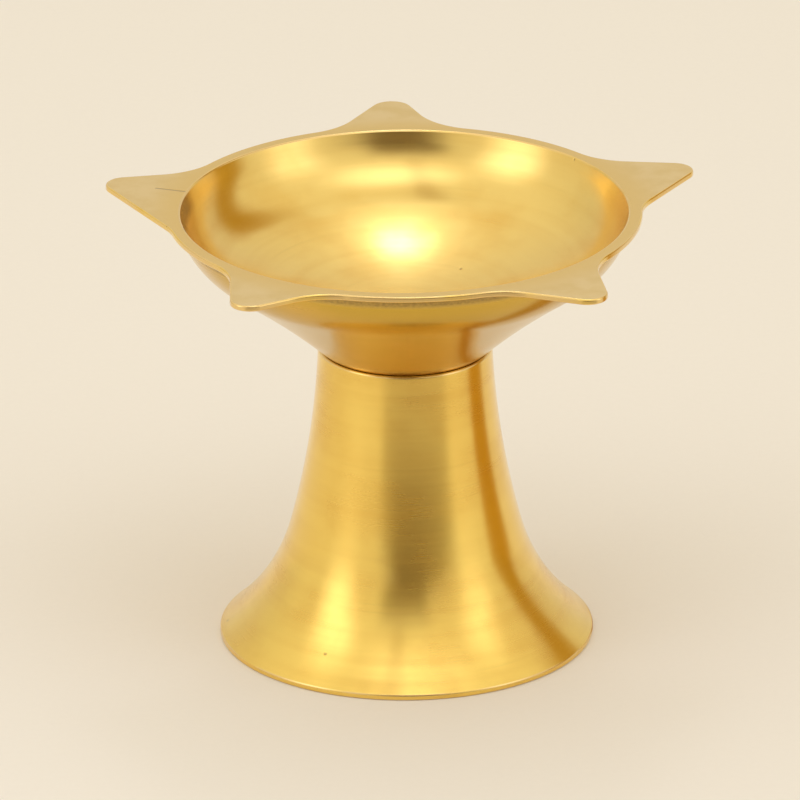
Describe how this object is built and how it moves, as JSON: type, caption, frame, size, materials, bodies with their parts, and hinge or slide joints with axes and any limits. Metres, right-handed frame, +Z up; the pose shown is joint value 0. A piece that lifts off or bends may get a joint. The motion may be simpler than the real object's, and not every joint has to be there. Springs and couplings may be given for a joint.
{
  "type": "aarti lamp",
  "caption": "Shallow brass oil-lamp dish with pointed wick spouts round its rim, screwed onto a hollow trumpet-shaped pedestal; burns ghee or oil on cotton wicks.",
  "frame": {"origin": "on the pedestal's axis, in the plane of the foot, on the surface that the lamp stands on", "axes": "+Z up along the lamp's axis; one wick spout points along +Y"},
  "size_m": [0.0994, 0.0946, 0.076],
  "materials": {
    "pedestal_brass": "cast and turned brass, bright outside with fine turning lines, dull as-cast inside",
    "bowl_brass": "cast and turned brass, bright inside and out, satin on the rim's flats",
    "nut_brass": "plain machined brass",
    "washer_brass": "plain stamped brass",
    "stud_brass": "plain machined brass with a cut thread"
  },
  "bodies": {
    "pedestal": {"pedestal": "pedestal_brass", "crown_nut": "nut_brass"},
    "seat_washer": {"seat_washer": "washer_brass"},
    "bowl": {"bowl": "bowl_brass", "bowl_stud": "stud_brass"}
  },
  "joints": [
    {"name": "bowl_unscrew", "type": "hinge", "parent": "pedestal", "child": "seat_washer", "pos_m": [0, 0, 0.0517], "axis": [0, 0, 1], "range_deg": [0, 2160]},
    {"name": "bowl_rise", "type": "slide", "parent": "seat_washer", "child": "bowl", "axis": [0, 0, 1], "range_m": [0, 0.0075]}
  ],
  "couplings": [
    {"joint": "bowl_rise", "follows": "bowl_unscrew", "m_per_rad": 0.00019894}
  ]
}
